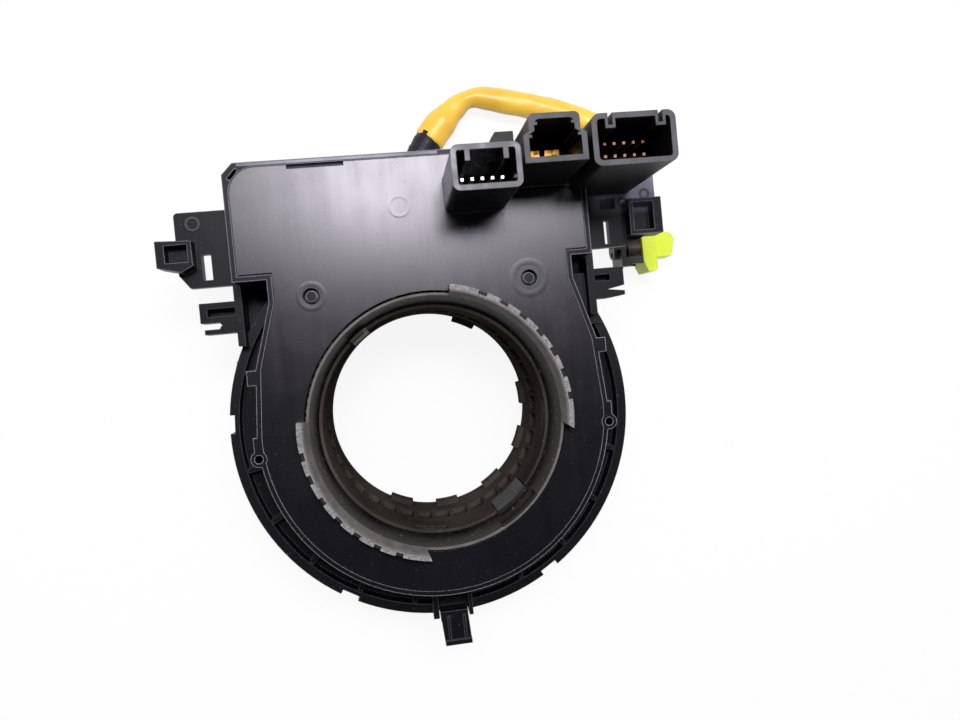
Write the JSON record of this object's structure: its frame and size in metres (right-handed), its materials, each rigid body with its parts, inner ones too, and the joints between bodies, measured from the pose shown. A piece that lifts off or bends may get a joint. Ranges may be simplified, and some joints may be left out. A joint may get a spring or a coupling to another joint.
{
  "type": "steering clock spring",
  "caption": "Steering clock spring: rotor with cancel cam in a case, flat spiral cable and angle sensor inside, rear connectors and an airbag lead.",
  "frame": {"origin": "on the rotor axis, at the front end of the shaft bore, which is the plane that the part lies on", "axes": "+Z along the rotor axis towards the steering column, +Y from the axis towards the rear connectors, +X to the side of the airbag plug"},
  "size_m": [0.1359, 0.1485, 0.0665],
  "materials": {
    "board_green": "solder mask",
    "cable_film": "polyester film with copper tracks",
    "cam_plastic": "satin warm grey moulding",
    "case_plastic": "satin black moulding",
    "chip_black": "moulded package",
    "connector_plastic": "satin grey moulding",
    "cover_plastic": "smooth dark grey-black moulding",
    "gear_plastic": "natural white moulding",
    "lead_block_plastic": "moulding over the bus bars",
    "magnet_black": "bonded magnet",
    "plug_brown": "brown moulding",
    "plug_lime": "lime yellow moulding",
    "root_sleeve": "dark slate tape",
    "rotor_plastic": "satin dark grey moulding",
    "sheet_film": "low friction film",
    "spring_gold": "gold plate",
    "terminal_bronze": "bare bronze",
    "terminal_tin": "bright tin plate",
    "yellow_sleeve": "braided yellow sleeve"
  },
  "bodies": {
    "stator": {"stator_case": "case_plastic", "rear_cover": "cover_plastic", "sensor_pins": "terminal_tin", "connector_block": "connector_plastic", "airbag_pins": "terminal_tin", "switch_pins": "terminal_bronze", "shorting_springs": "spring_gold", "circuit_board": "board_green", "hall_sensors": "chip_black", "processor": "chip_black", "outer_lead_block": "lead_block_plastic", "flat_cable": "cable_film"},
    "rotor": {"rotor": "rotor_plastic", "rotor_pins": "terminal_tin", "cancel_cam": "cam_plastic", "ring_gear": "gear_plastic", "inner_lead_block": "lead_block_plastic", "slide_sheet": "sheet_film", "lead_root": "root_sleeve", "lead_sleeve": "yellow_sleeve", "squib_housing": "plug_lime", "squib_barrel": "plug_brown", "squib_lock": "case_plastic"},
    "first_measuring_gear": {"first_gear": "gear_plastic", "first_magnet": "magnet_black"},
    "second_measuring_gear": {"second_gear": "gear_plastic", "second_magnet": "magnet_black"}
  },
  "joints": [
    {"name": "rotor_turn", "type": "hinge", "parent": "stator", "child": "rotor", "pos_m": [0, 0, 0.02], "axis": [0, 0, 1], "range_deg": [-900, 900], "deforming": ["flat_cable"]},
    {"name": "first_gear_turn", "type": "hinge", "parent": "stator", "child": "first_measuring_gear", "pos_m": [0.0099, 0.0397, 0.0272], "axis": [0, 0, 1], "range_deg": [-3273, 3273]},
    {"name": "second_gear_turn", "type": "hinge", "parent": "stator", "child": "second_measuring_gear", "pos_m": [-0.01427, 0.0392, 0.0272], "axis": [0, 0, 1], "range_deg": [-3001, 3001]}
  ],
  "couplings": [
    {"joint": "first_gear_turn", "follows": "rotor_turn", "ratio": -3.6364},
    {"joint": "second_gear_turn", "follows": "rotor_turn", "ratio": -3.3333}
  ]
}
